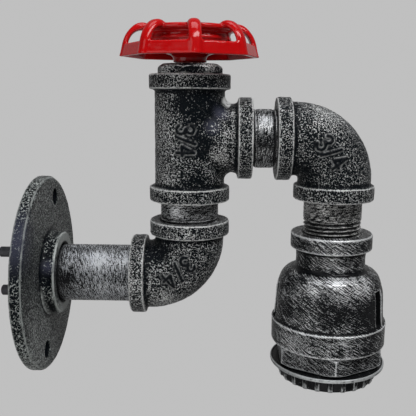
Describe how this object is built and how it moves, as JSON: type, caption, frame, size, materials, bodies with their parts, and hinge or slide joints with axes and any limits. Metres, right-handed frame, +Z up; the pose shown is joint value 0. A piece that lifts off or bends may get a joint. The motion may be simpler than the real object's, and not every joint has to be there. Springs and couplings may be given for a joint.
{
  "type": "industrial pipe wall light",
  "caption": "Wall light built from threaded pipe and cast fittings, with a wall flange, a red handwheel on the tee and a bell-shaped lamp head that looks down.",
  "frame": {"origin": "on the axis of the flange's pipe, at the back face of the wall flange, centre of its two screw holes", "axes": "+X straight out from the wall, +Z up, +Y across so that the pipe run lies in the plane Y = 0"},
  "size_m": [0.1845, 0.092, 0.1641],
  "materials": {
    "cast_black_silver": "black paint dry-brushed with silver over a rough casting",
    "pipe_brushed": "silver brushed over black, fine scratches",
    "red_enamel": "glossy red enamel",
    "black_moulding": "black thermoset moulding",
    "ring_black_silver": "black with silver on rim and teeth",
    "steatite": "unglazed cream ceramic",
    "brass": "satin",
    "zinc_steel": "zinc plated",
    "black_steel": "black oxide",
    "rubber_black": "matte",
    "fibre_red": "vulcanised fibre",
    "lead_brown": "silicone insulation",
    "lead_blue": "silicone insulation",
    "lead_green_yellow": "silicone insulation with a stripe"
  },
  "bodies": {
    "light_body": {"wall_flange": "cast_black_silver", "stud_plate": "black_steel", "rear_studs": "black_steel", "inlet_grommet": "rubber_black", "flange_nipple": "pipe_brushed", "riser_nipple": "pipe_brushed", "arm_nipple": "pipe_brushed", "drop_nipple": "pipe_brushed", "lower_elbow": "cast_black_silver", "upper_elbow": "cast_black_silver", "tee": "cast_black_silver", "tee_plug": "cast_black_silver", "spindle_washer": "fibre_red", "earth_tag": "zinc_steel", "earth_screw": "zinc_steel", "lamp_head": "cast_black_silver", "head_bushing": "cast_black_silver", "holder_body": "black_moulding", "screw_shell": "brass", "contact_base": "steatite", "contact_spring": "zinc_steel", "live_strip": "brass", "neutral_strip": "brass", "terminal_blocks": "brass", "terminal_screws": "zinc_steel", "holder_cap": "black_moulding", "cap_screws": "zinc_steel", "shade_ring": "ring_black_silver", "live_lead": "lead_brown", "neutral_lead": "lead_blue", "earth_lead": "lead_green_yellow"},
    "wheel_set": {"handwheel": "red_enamel", "valve_spindle": "zinc_steel", "spindle_clip": "zinc_steel", "wheel_washer": "zinc_steel", "wheel_screw": "zinc_steel"},
    "contact_pin": {"centre_contact": "brass"}
  },
  "joints": [
    {"name": "handwheel_turn", "type": "hinge", "parent": "light_body", "child": "wheel_set", "pos_m": [0.07172, 0, 0.098], "axis": [0, 0, 1], "continuous": true},
    {"name": "contact_press", "type": "slide", "parent": "light_body", "child": "contact_pin", "axis": [0, 0, 1], "range_m": [0, 0.0015], "stiffness_N_per_m": 2500, "deforming": ["contact_spring"]}
  ]
}
